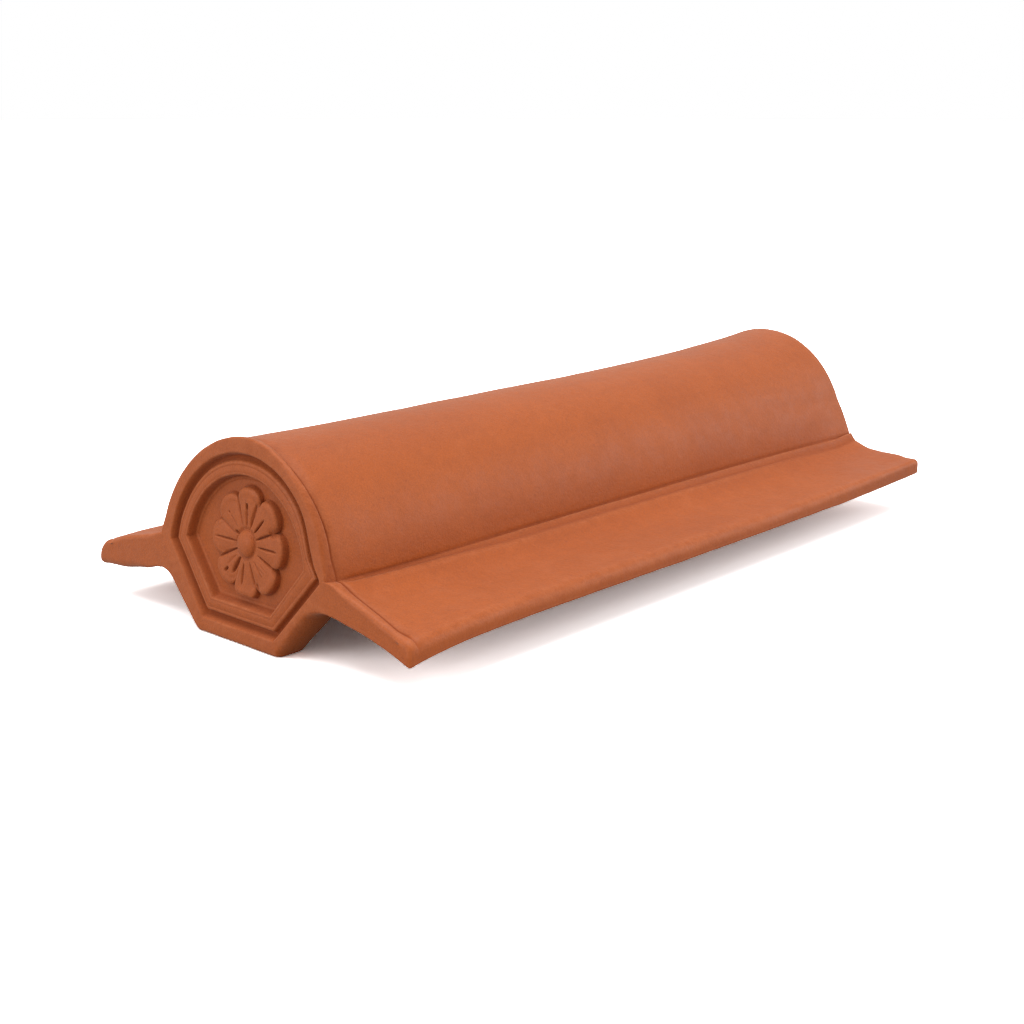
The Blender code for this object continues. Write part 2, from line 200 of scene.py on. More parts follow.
class RidgeTileStage(bpy.types.PropertyGroup):
    azimuth: in_degrees("Azimuth", "Camera turned from straight in front", 41.94)
    elevation: in_degrees("Elevation", "Camera above level", 14.75)
    distance: metres("Distance", "From the camera to the point it aims at", 0.7480)
    lens: bpy.props.FloatProperty(name="Lens", description="Focal length on a 36 mm sensor",
                                  default=52.945, min=10.0, unit="CAMERA")
    aim: bpy.props.FloatVectorProperty(name="Aim", description="Point that the camera looks at",
                                       default=(0.05986, -0.09748, 0.04998), size=3,
                                       subtype="TRANSLATION")
    bounce: colour_property("Bounce", "Floor as the tile sees it", (0.38, 0.38, 0.38))
    white: bpy.props.FloatProperty(name="Floor exposure", default=2.3, min=1.0,
                                   description="How far the floor is over white")
    sky: bpy.props.FloatProperty(name="Sky", description="Strength of the all-round light",
                                 default=0.52, min=0.0)
    key: bpy.props.FloatProperty(name="Key light", description="Strength of the soft key light",
                                 default=2.6, min=0.0)


# -------- small helpers
def smooth(low, high, value):
    """0 below low, 1 above high, and an even curve between them."""
    share = min(1.0, max(0.0, (value - low) / (high - low)))
    return share * share * (3.0 - 2.0 * share)


def mix(first, second, share):
    return first + (second - first) * share


def bump(value, centre, width):
    """A soft bump of height 1."""
    return exp(-((value - centre) / width) ** 2)


def stretch(share, *marks):
    """Which stretch between the marks a share lies in, counted from 0, and how far along."""
    return float(np.interp(share, marks, range(len(marks))))


def new_piece(name, shape, material):
    """Orient and smooth a bmesh, and put it in the scene as a piece of the tile."""
    bmesh.ops.recalc_face_normals(shape, faces=shape.faces)
    piece = new_object(name, shape, material)
    if not piece.data.polygons:
        raise RuntimeError(name + " came out empty")
    piece.data.shade_smooth()
    mark_edges_and_hollows(piece.data)
    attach(piece, BODY)
    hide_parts(NODE)


def new_object(name, shape, material):
    """Put a bmesh in the scene with its material."""
    mesh = bpy.data.meshes.new(name)
    shape.to_mesh(mesh)
    shape.free()
    mesh.materials.append(material)
    made = bpy.data.objects.new(name, mesh)
    bpy.context.scene.collection.objects.link(made)
    return made


def extrude_row(shape, row, points, closed, sunk=None):
    """Extrude a row of joined vertices once, and put the new row at the given points.
    The last argument says how much painted shade lies there, for the whole row or for each vertex."""
    order = shape.verts.layers.int["order"]
    mark = shape.verts.layers.float["sunk"]
    pairs = list(zip(row, row[1:]))
    if closed:
        pairs.append((row[-1], row[0]))
    for index, vert in enumerate(row):
        vert[order] = index
    edges = [shape.edges.get(pair) for pair in pairs]
    made = bmesh.ops.extrude_edge_only(shape, edges=edges)["geom"]
    fresh = [item for item in made if isinstance(item, bmesh.types.BMVert)]
    fresh.sort(key=lambda vert: vert[order])
    if not isinstance(sunk, list):
        sunk = [sunk or 0.0] * len(fresh)
    for vert, point, value in zip(fresh, points, sunk):
        vert.co = point
        vert[mark] = value
    return fresh


# -------- the tile's section
class Section:
    """The tile's outline at any distance y behind its face. x from the middle, z from the
    arch centre. Each stretch takes a side (1 right, -1 left) and a share from 0 to 1."""

    def __init__(self):
        sizes = bpy.context.scene.ridge_tile_sizes
        names = RidgeTileSizes.__annotations__
        self.s = s = SimpleNamespace(**{name: getattr(sizes, name) for name in names})
        self.axis_z = s.bottom_distance + s.rim_width
        self.rear_y = HIGH[1]
        self.lean = tan(s.face_lean)
        self.slant_x = sin(s.slant_angle)
        self.slant_z = -cos(s.slant_angle)
        self.rim_radius = s.panel_radius + s.rim_width
        self.flank = s.slant_distance + s.rim_width
        self.fillets = {}
        # the notches differ: the left one is tighter, lower and further out
        for side, radius, corner_z, out in ((1, s.notch_fillet, -0.0090, 0.0),
                                            (-1, s.notch_fillet_left, -0.0112, 0.0041)):
            corner_x = (self.flank - corner_z * self.slant_z) / self.slant_x + out
            tangent = radius * tan(s.slant_angle / 2.0)
            self.fillets[side] = (radius, corner_x + tangent, corner_z - radius)

    def world(self, x, y, z):
        """A point in the tile's frame. The lean of the face dies out towards the rear."""
        share = min(1.0, max(0.0, y / self.s.length))
        back = y + z * self.lean * (1.0 - share)
        return Vector((x, back + self.rear_y - self.s.length, z + self.axis_z))

    def bell(self, y):
        """Share of the flare, from 0 at its start to 1 at the rear end."""
        start = self.s.bell_start
        return max(0.0, (y - start) / (self.s.length - start)) ** 3

    def barrel(self, y, grow):
        """Half width and height of the barrel's outside, grown by an amount."""
        radius, bell = self.s.barrel_radius + grow, self.bell(y)
        return radius + self.s.bell_spread * bell, radius + self.s.bell_rise * bell

    def edge_rounds(self, side, y):
        """Upper and lower rounding of the wing's edge: blunter at the left front, and
        crisper above towards the rear end."""
        nose = 1.0 - smooth(0.004, 0.022, y) if side < 0 else 0.0
        crisp = 0.0028 * smooth(0.60, 1.0, y / self.s.length)
        return (self.s.edge_round_top + 0.0030 * nose - crisp,
                self.s.edge_round_low + 0.0012 * nose)

    def wing_top(self, x, y, side):
        """Height of the wing's upper side: it droops outwards at the face, and is level
        with a hollow rise to the barrel further back."""
        s = self.s
        out = x - s.wing_root
        at_face = 0.0061 - 0.273 * out - 1.20 * out ** 2
        level = -0.0060 - 0.0050 * y + 0.0035 * (y / s.length) ** 6
        ledge = s.wing_ledge - s.wing_root
        rise = 0.0120 * exp(-max(out, ledge) / 0.0081)
        further_back = level + rise + 0.38 * max(0.0, ledge - out)
        fade = 0.0230 if side > 0 else 0.0190
        settled = 1.0 - exp(-max(0.0, y) / fade)
        swell = bump(out, 0.034, 0.021) * exp(-max(0.0, y) / 0.05) if side < 0 else 0.0
        return mix(at_face, further_back, settled) + 0.0026 * swell

    def wing_under(self, x, y, side):
        """Height of the wing's underside, which hangs a little between root and edge."""
        s = self.s
        root = -0.0093 - 0.0018 * y / s.length
        if side < 0:
            root -= 0.0022 * (1.0 - smooth(0.01, 0.07, y))
        thick = s.wing_thickness
        edge = self.wing_top(s.wing_half, y, side) - thick
        share = max(0.0, (x - s.wing_root) / (s.wing_half - s.wing_root))
        if side > 0:
            hang = 0.0006 + 0.0004 * smooth(0.0, 0.02, y)
        else:
            hang = mix(0.0022, 0.0010, smooth(0.01, 0.07, y))
            hang += 0.0020 * bump(share, 0.58, 0.25) * (1.0 - smooth(0.01, 0.05, y))
        return root + (edge - root) * share ** 1.7 - hang * smooth(0.0, 0.25, share)

    def arch(self, share, y, grow):
        """The barrel's outside from crown to foot, a little fuller just behind the rim."""
        s = self.s
        front = 0.0007 * exp(-max(0.0, y - 0.006) / 0.014) * smooth(0.004, 0.007, y)
        width, height = self.barrel(y, grow + front)
        height -= 0.0005 * bump(y, 0.085, 0.055)
        low = asin((s.barrel_foot + 0.0024 * exp(-max(0.0, y) / 0.021)) / height)
        angle = mix(pi / 2.0, low, 1.0 - (1.0 - share) ** 1.12)
        z = height * sin(angle)
        foot = max(0.0, 1.0 - z / s.foot_top) ** 1.3
        return width * cos(angle) + s.foot_spread * self.bell(y) * foot, z

    def top(self, side, share, y, grow, tip_grow):
        """The wing's upper side from the joint to its rounded edge."""
        s = self.s
        start = self.arch(1.0, y, 0.0)[0] + s.joint_width
        end = s.wing_half + tip_grow - self.edge_rounds(side, y)[0]
        x = mix(start, end, share ** 1.1)
        return x, self.wing_top(x, y, side) + grow

    def joint(self, side, share, y, arch_grow, top_grow, tip_grow):
        """The tooled strip where barrel and wing meet."""
        foot_x, foot_z = self.arch(1.0, y, arch_grow)
        root_x, root_z = self.top(side, 0.0, y, top_grow, tip_grow)
        return mix(foot_x, root_x, share), mix(foot_z, root_z, share)

    def edge(self, side, share, y, top_grow, tip_grow, under_grow):
        """Rounded outer edge of the wing, from its upper side to its lower one."""
        s = self.s
        outer = s.wing_half + tip_grow
        high_r, low_r = self.edge_rounds(side, y)
        top_z = self.wing_top(outer - high_r, y, side) + top_grow
        low_z = self.wing_under(outer - low_r, y, side) - under_grow
        flat = min(1.0, 0.92 * (top_z - low_z) / (high_r + low_r))
        high_z, under_z = top_z - flat * high_r, low_z + flat * low_r
        place = stretch(share, 0.0, EDGE_HIGH_END, EDGE_LOW_START, 1.0)
        angle = pi / 2.0 * (place if place < 1.0 else place - 2.0)
        if place < 1.0:
            return (outer - high_r * (1.0 - sin(angle)),
                    high_z + flat * high_r * cos(angle))
        if place < 2.0:
            return outer, mix(high_z, under_z, place - 1.0)
        return (outer - low_r * (1.0 - cos(angle)),
                under_z - flat * low_r * sin(angle))

    def under(self, side, share, y, grow, tip_grow):
        """The wing's underside from its edge to the notch beside the plate."""
        s = self.s
        start = s.wing_half + tip_grow - self.edge_rounds(side, y)[1]
        x = mix(start, self.fillets[side][1], 1.0 - (1.0 - share) ** 1.1)
        return x, self.wing_under(x, y, side) - grow

    def lower(self, side, share, grow):
        """The plate's lower line: hollow fillet, slant, rounded corner and flat bottom."""
        radius, fillet_x, fillet_z = self.fillets[side]
        place = stretch(share, 0.0, FILLET_END, SLANT_END, CORNER_END, 1.0)
        angle = pi / 2.0 + self.s.slant_angle * min(1.0, place)
        start = (fillet_x + (radius - grow) * cos(angle),
                 fillet_z + (radius - grow) * sin(angle))
        if place < 1.0:
            return start
        soft = max(0.0012, (0.0034 if side > 0 else 0.0052) + grow * 0.6)
        return self.plate_line(place - 1.0, start, self.flank + grow, self.axis_z + grow, soft)

    def inner(self, side, share, y, grow):
        """The inside of the barrel, from the wing's underside up to the crown."""
        s = self.s
        width, height = self.barrel(y, -mix(s.wall, s.bell_wall, self.bell(y)) - grow)
        soft = 0.0050
        under = self.wing_under(s.wing_root, y, side) - grow
        place = stretch(share, 0.0, INNER_FLAT_END, INNER_CORNER_END, INNER_WALL_END, 1.0)
        if place < 1.0:
            fillet_x = self.fillets[side][1]
            low = self.wing_under(fillet_x, y, side) - grow
            return mix(fillet_x, width + soft, place), mix(low, under, place)
        if place < 2.0:
            angle = pi / 2.0 * (place - 1.0)
            return width + soft * (1.0 - sin(angle)), under + soft * (1.0 - cos(angle))
        if place < 3.0:
            return width, mix(under + soft, 0.0, place - 2.0)
        angle = pi / 2.0 * (place - 3.0)
        return width * cos(angle), height * sin(angle)

    def plate_line(self, place, start, flank, bottom, soft):
        """Slant from the start (place 0 to 1), rounded corner (to 2) and flat bottom (to 3)."""
        turn = self.s.slant_angle
        corner_x = (flank + bottom * self.slant_z) / self.slant_x
        cut = soft * tan(turn / 2.0)
        if place < 1.0:
            return (mix(start[0], corner_x + cut * cos(turn), place),
                    mix(start[1], -bottom + cut * sin(turn), place))
        if place < 2.0:
            angle = turn * (2.0 - place)
            return (corner_x - cut + soft * sin(angle),
                    -bottom + soft * (1.0 - cos(angle)))
        return mix(corner_x - cut, 0.0, place - 2.0), -bottom

    def panel(self, region, side, share, grow):
        """One column of a ring on the face, grown from the rim's inner edge."""
        s = self.s
        radius, slant = s.panel_radius + grow, s.slant_distance + grow
        bottom = s.bottom_distance + grow
        chord = sqrt(radius ** 2 - slant ** 2)
        shoulder_x = slant * self.slant_x + chord * cos(s.slant_angle)
        shoulder_z = slant * self.slant_z + chord * sin(s.slant_angle)
        # the groove on the right was cut by eye: tight above the shoulder, wide below it
        by_eye = 0.0022 * smooth(-0.0095, -0.0045, grow) if side > 0 else 0.0
        if region == "arch":
            angle = mix(pi / 2.0, atan2(shoulder_z, shoulder_x), share)
            radius -= by_eye * bump(angle, radians(21.0), radians(13.0))
            out = by_eye * smooth(0.90, 1.0, share)
            return radius * cos(angle) + out, radius * sin(angle)
        place = PANEL_ROOT * share
        if region == "lower":
            place = float(np.interp(share, (0.0, SLANT_END, CORNER_END, 1.0),
                                    (PANEL_ROOT, 1.0, 2.0, 3.0)))
        return self.plate_line(place, (shoulder_x + by_eye, shoulder_z), slant, bottom, 0.0015)

    def place(self, region, side, share, y, rim, lip, tip, soffit):
        """A point of the wall, its stretches grown by their own amounts."""
        if region == "arch":
            return self.arch(share, y, rim)
        if region == "joint":
            return self.joint(side, share, y, rim, lip, tip)
        if region == "top":
            return self.top(side, share, y, lip, tip)
        if region == "edge":
            return self.edge(side, share, y, lip, tip, soffit)
        return self.under(side, share, y, soffit, tip)


def all_round(stretches):
    """Columns clockwise from the crown as seen from the front: region, side and share.
    Each stretch is its region, how many steps it has, its first one, and 1 to keep its end."""
    half = [(region, step / steps) for region, steps, first, more in stretches
            for step in range(first, steps + more)]
    whole = [(region, 1.0, share) for region, share in half]
    return whole + [(region, -1.0, share) for region, share in reversed(half[1:-1])]


OUTLINE = all_round((("arch", ARCH_COLUMNS, 0, 1), ("joint", JOINT_COLUMNS, 1, 0),
                     ("top", TOP_COLUMNS, 0, 0), ("edge", EDGE_COLUMNS, 0, 1),
                     ("under", UNDER_COLUMNS, 1, 0), ("lower", LOWER_COLUMNS, 0, 1)))
PANEL = all_round((("arch", ARCH_COLUMNS, 0, 1), ("root", EDGE_COLUMNS, 1, 0),
                   ("lower", LOWER_COLUMNS, 0, 1)))


def rounded(radius, turn):
    """How far in and how far back a rounded front edge is, turn going from 0 to 1."""
    angle = pi / 2.0 * turn
    return -radius * (1.0 - sin(angle)), radius * (1.0 - cos(angle))


def line_place(region, share):
    """How far behind the face the scored line runs."""
    if region == "arch":
        by_crown = mix(0.0026, 0.0044, smooth(0.3, 0.8, share))
        return mix(by_crown, LINE_BACK, smooth(0.84, 1.0, share))
    if region == "top":
        return mix(LINE_BACK, 0.0027, share)
    return LINE_BACK if region == "joint" else 0.0060


def front_ring(section, turn, after):
    """A ring of the front edge. turn goes from 0 to 1 over the rounding while after is 0.
    The scored line's rings follow it, with after going from 1 to 5."""
    s = section.s
    points = []
    for region, side, share in OUTLINE:
        right = side > 0
        line = line_place(region, share)
        rim_r, lip_r, soffit_r = s.rim_round, s.lip_round, 0.0014
        step = section.rim_radius - s.barrel_radius
        if region == "arch":
            rim_r *= (mix(0.4, 1.3, smooth(0.15, 0.6, share))
                      * (1.0 - 0.65 * smooth(0.85, 1.0, share)))
        elif region == "top":
            lip_r *= mix(0.40, 1.0, smooth(0.0, 0.30, share))
        elif region == "joint":
            rim_r *= 0.45
            lip_r *= 0.40
        elif region == "edge" and not right:
            soffit_r = 0.0050
        elif region == "under" and not right:
            soffit_r = mix(0.0050, 0.0014, smooth(0.40, 0.90, share))
        if region in ("arch", "joint"):
            down = share if region == "arch" else 1.0
            thinner = 0.25 * bump(down, 0.30, 0.2) - 0.42 * smooth(0.45, 0.80, down)
            step *= 1.0 - (0.8 * smooth(0.05, 0.4, down) if right else thinner)
        rim_grow, rim_y = rounded(min(rim_r, line * 0.75), turn)
        lip_grow, lip_y = rounded(min(lip_r, line * 0.8), turn)
        tip_grow, tip_y = rounded(s.wing_corner * 0.9, turn)
        soffit_grow, soffit_y = rounded(soffit_r, turn)
        flank_grow, flank_y = rounded(0.0038 if right else 0.0014, turn)
        flank_y *= 2.3 if right else 1.0
        foot_grow, foot_y = rounded(0.0022, turn)
        if after > 0:
            drop, score, gap, _ = SCORED[after - 1]
            score *= s.line_depth
            rim_y = lip_y = line + gap * mix(0.6, 1.0, min(1.0, line / LINE_BACK))
            fading = 1.0 - 0.7 * smooth(0.55, 0.95, share) if region == "arch" else 1.0
            rim_grow = step * (1.0 - drop) - score * fading
            lip_grow = -score * (mix(1.0, 0.7, share) if region == "top" else 1.0)
            tip_y = max(tip_y, s.wing_corner * (0.9 + 0.2 * after))
            soffit_y = max(soffit_y, 0.0052 + 0.0007 * after)
            flank_y = max(flank_y, 0.0090 if right else 0.0014) + 0.0002 * after
            foot_y = max(foot_y, 0.0030 + 0.0011 * after)
        else:
            rim_grow += step
        if region == "lower":
            to_flank = smooth(0.0, FILLET_END, share)
            to_foot = smooth(SLANT_END - 0.04, CORNER_END + 0.04, share)
            grow = mix(mix(soffit_grow, flank_grow, to_flank), foot_grow, to_foot)
            y = mix(mix(soffit_y, flank_y, to_flank), foot_y, to_foot)
            x, z = section.lower(side, share, grow)
        else:
            y = {"arch": rim_y, "joint": mix(rim_y, lip_y, share),
                 "top": mix(lip_y, tip_y, smooth(0.86, 1.0, share)),
                 "edge": mix(tip_y, soffit_y, smooth(0.75, 1.0, share)),
                 "under": soffit_y}[region]
            x, z = section.place(region, side, share, y, rim_grow, lip_grow, tip_grow,
                                 soffit_grow)
        points.append(section.world(side * x, y, z))
    return points


def body_ring(section, y, lower_back=None, lower_grow=0.0, to_inner=1.0, shrink=0.0):
    """A ring further back. The lower columns go from the plate's line to the barrel's
    inside as to_inner goes from 0 to 1. shrink draws the whole wall in at the rear end."""
    s = section.s
    corner = s.wing_corner
    short = min(1.0, max(0.0, 1.0 - y / corner))
    tip_grow = -corner * (1.0 - sqrt(1.0 - short ** 2)) - shrink
    at_rear = smooth(-0.026, -0.002, y - s.length)
    points = []
    for region, side, share in OUTLINE:
        back = y
        if region == "lower":
            x, z = section.inner(side, share, y, -shrink)
            if to_inner < 1.0:
                grow = lower_grow * smooth(0.03, 0.20, share)
                plate_x, plate_z = section.lower(side, share, grow)
                x, z = mix(plate_x, x, to_inner), mix(plate_z, z, to_inner)
            if lower_back is not None:
                more = 0.0048 * (1.0 - smooth(0.15, 0.50, share)) if side > 0 else 0.0
                back = mix(y, lower_back + more * smooth(0.012, 0.014, lower_back),
                           smooth(0.0, 0.06, share))
        else:
            x, z = section.place(region, side, share, y, -shrink, -shrink, tip_grow, -shrink)
        if region == "arch":
            x -= joint_relief(section, x, back, share, region)
        elif region in ("joint", "top"):
            z -= joint_relief(section, x, back, share, region)
            z += at_rear * 0.0022 * bump(x, s.wing_root + 0.0062, 0.0060)
            z += at_rear * 0.0010 * smooth(0.068, 0.078, x) * (1.0 - smooth(0.100, 0.108, x))
        points.append(section.world(side * x, back, z))
    return points


def joint_lines(section, x, y, share, region):
    """Strength of the tooled lines along the barrel's foot: one soft groove that opens
    towards the rear into two, with a narrow ridge between them."""
    s = section.s
    if region == "arch":
        off = -(1.0 - share) * s.barrel_radius * 1.45
    elif region == "joint":
        off = share * s.joint_width
    else:
        off = x - section.arch(1.0, y, 0.0)[0]
    open_up = smooth(0.10, 0.30, y / s.length)
    started = smooth(0.008, 0.016, y)
    upper = bump(off, -0.0014, 0.0011) * mix(0.2, 0.8, open_up)
    lower = bump(off, mix(0.0012, 0.0036, open_up), mix(0.0018, 0.0022, open_up))
    ridge = bump(off, 0.0007, 0.0008) * open_up
    return started * upper, started * lower, started * ridge


def joint_relief(section, x, y, share, region):
    """How deep the tooled lines are."""
    if region == "arch" and share < 0.85:
        return 0.0
    upper, lower, ridge = joint_lines(section, x, y, share, region)
    return upper * 0.00035 + lower * 0.00085 - ridge * 0.00045


def joint_shade(section, y):
    """How much painted shade the lower tooled line gets."""
    marks = []
    for region, side, share in OUTLINE:
        marks.append(0.0)
        if region in ("joint", "top"):
            x = section.top(side, share, y, 0.0, 0.0)[0]
            marks[-1] = 0.45 * joint_lines(section, x, y, share, region)[1]
    return marks


# -------- the rosette
def wrap(angle):
    return (angle + pi) % tau - pi


def lobe(sizes, angle):
    """Reach of the petals in a direction."""
    petal = wrap(angle * PETALS) / pi
    swell = sqrt(max(0.0, 1.0 - abs(petal) ** 2.2))
    return mix(sizes.petal_notch, sizes.petal_tip, swell)


def tool_cut(reach, angle, degrees, start, end, width, depth, taper=0.5):
    """How deep one stroke of the modelling tool cuts at a point of the rosette. The stroke
    runs along a ray from the centre, from start to end, and narrows to its ends by taper."""
    off = wrap(angle - radians(degrees))
    if abs(off) > 0.5:
        return 0.0
    across = reach * sin(off)
    share = (reach * cos(off) - start) / (end - start)
    if share < -0.2 or share > 1.2:
        return 0.0
    width *= mix(1.0, taper, abs(2.0 * share - 1.0) ** 2)
    ends = smooth(-0.12, 0.12, share) * (1.0 - smooth(0.86, 1.1, share))
    return depth * ends * exp(-(across / width) ** 2 * 2.0)


def tool_cuts(reach, angle):
    """How deep all the strokes cut there."""
    return sum(tool_cut(reach, angle, *stroke) for stroke in STROKES)


# Strokes on the rosette: bearing in degrees, then start, end, width and depth in metres, and
# for some the taper
STROKES = (
    # creases along the petals
    (0.0, 0.0095, 0.0222, 0.00070, 0.00150), (46.5, 0.0088, 0.0184, 0.00085, 0.00150),
    (91.0, 0.0085, 0.0185, 0.00110, 0.00075), (180.5, 0.0080, 0.0232, 0.00060, 0.00120),
    (264.0, 0.0098, 0.0200, 0.00110, 0.00090), (314.0, 0.0100, 0.0190, 0.00100, 0.00035),
    (137.0, 0.0100, 0.0175, 0.00100, 0.00030), (222.0, 0.0100, 0.0180, 0.00110, 0.00025),
    # gaps between the petals
    (23.0, 0.0085, 0.0182, 0.00085, 0.00170), (72.0, 0.0085, 0.0205, 0.00120, 0.00095),
    (112.0, 0.0085, 0.0215, 0.00130, 0.00080), (152.0, 0.0076, 0.0100, 0.00110, 0.00130),
    (158.0, 0.0100, 0.0215, 0.00090, 0.00040), (205.5, 0.0080, 0.0235, 0.00085, 0.00150),
    (238.0, 0.0088, 0.0182, 0.00130, 0.00165), (292.0, 0.0088, 0.0205, 0.00100, 0.00075),
    (337.0, 0.0105, 0.0245, 0.00080, 0.00110),
    # deep pits in the notches of the right and lower petals
    (22.5, 0.0182, 0.0250, 0.00240, 0.00110, 0.8), (336.0, 0.0215, 0.0275, 0.00200, 0.00080, 0.8),
    (297.0, 0.0195, 0.0262, 0.00200, 0.00090, 0.8), (67.5, 0.0200, 0.0250, 0.00180, 0.00060, 0.8),
    # drop-shaped pricks
    (91.5, 0.0162, 0.0190, 0.00085, 0.00150, 0.8), (225.5, 0.0188, 0.0220, 0.00085, 0.00170, 0.8),
    (137.0, 0.0180, 0.0195, 0.00060, 0.00060, 0.9),
)

# How high each petal stands, from the right-hand one counter-clockwise
PETAL_HEIGHTS = (1.0, 1.0, 0.92, 0.74, 0.66, 0.74, 0.92, 1.0)


def petal_height(angle):
    """Height share of the petals in a direction, eased from one petal to the next."""
    place = (angle / tau * PETALS) % PETALS
    first = int(place + 0.5) % PETALS
    off = wrap((place - first) * tau / PETALS) * PETALS / tau
    nearby = (first + (1 if off > 0 else -1)) % PETALS
    return mix(PETAL_HEIGHTS[first], PETAL_HEIGHTS[nearby], smooth(0.35, 0.65, abs(off)))


def rosette_depth(sizes, reach, angle, edge_share):
    """Depth of the rosette below the rim. edge_share is 1 on the petals' outline."""
    field, relief, boss = sizes.field_depth, sizes.petal_relief, sizes.boss_radius
    if reach < boss:
        dome = sqrt(max(0.0, 1.0 - (reach / boss) ** 2.6))
        flat = field - relief + 0.0007
        return mix(flat, flat - 0.0007 - sizes.boss_relief, dome)
    away = wrap(angle * PETALS) / pi
    crown = 0.00035 * (1.0 - away ** 2) * smooth(0.2, 0.6, edge_share)
    bead = 0.00022 * bump(edge_share, 0.90, 0.05)
    valley = 0.0006 * abs(away) ** 3 * smooth(0.35, 0.95, edge_share)
    moat = 0.0007 * bump(reach, boss * 1.12, 0.0009)
    depth = field - relief * petal_height(angle) - crown - bead + valley
    depth += tool_cuts(reach, angle) + moat
    hatch = bump(angle, radians(142), 0.22) * bump(reach, 0.0150, 0.0030)
    hatch += 0.8 * bump(wrap(angle), radians(-36), 0.20) * bump(reach, 0.0165, 0.0030)
    slanted = reach * cos(wrap(angle - radians(60)))
    return depth + 0.00016 * hatch * sin(slanted / 0.00085 * pi)


# -------- building the tile
def panel_profile(s):
    """Rings of the face from the rim inwards: how far in, how deep, and how much painted shade."""
    groove, band, field = s.groove_depth, s.band_depth, s.field_depth
    return (
        # the rim's inner arris and the groove
        (0.0009, 0.0, 0.0), (0.0005, 0.00004, 0.0), (0.0002, 0.00022, 0.1),
        (-0.0001, 0.00070, 0.4), (-0.0005, groove * 0.45, 0.8), (-0.0010, groove * 0.78, 0.9),
        (-0.0016, groove * 0.97, 0.9), (-0.0022, groove, 0.8), (-0.0028, groove * 0.97, 0.7),
        (-0.0033, groove * 0.82, 0.5), (-0.0037, groove * 0.62, 0.35),
        # the band, with a fine tool line near each side
        (-0.0040, band + 0.00035, 0.15), (-0.0043, band + 0.00008, 0.0), (-0.0048, band, 0.0),
        (-0.0053, band, 0.0), (-0.0057, band + 0.00018, 0.3), (-0.0061, band, 0.0),
        (-0.0080, band, 0.0), (-0.0086, band, 0.0), (-0.0090, band + 0.00016, 0.3),
        (-0.0094, band, 0.0), (-0.0100, band + 0.00016, 0.1), (-0.0103, band + 0.00055, 0.5),
        # the ledge down to the field, and a faint line at its foot
        (-0.0106, mix(band, field, 0.38), 0.8), (-0.0109, mix(band, field, 0.66), 0.9),
        (-0.0113, field - 0.00085, 0.9), (-0.0118, field - 0.00062, 0.5),
        (-0.0124, field - 0.00056, 0.1), (-0.0127, field - 0.00030, 0.3),
        (-0.0130, field - 0.00005, 0.1), (-0.0136, field, 0.0),
    )


def close_wing_end(shape, around, edge_start):
    """Fill a wing's end from its edge to its root. Gives back the row of vertices left at
    the root. around finds a vertex of the front ring, counted from the crown."""
    edge_end = edge_start + EDGE_COLUMNS
    row = [around(index) for index in range(edge_start, edge_end + 1)]
    for step in range(1, UNDER_COLUMNS + 1):
        upper, under = around(edge_start - step), around(edge_end + step)
        points = [upper.co.lerp(under.co, place / EDGE_COLUMNS)
                  for place in range(EDGE_COLUMNS + 1)]
        fresh = extrude_row(shape, row, points, False)
        bmesh.ops.weld_verts(shape, targetmap={fresh[0]: upper, fresh[-1]: under})
        row = [upper] + fresh[1:-1] + [under]
    return row


def close_ring(shape, row):
    """The edges of a closed row of vertices."""
    return [shape.edges.get((row[index - 1], row[index])) for index in range(len(row))]


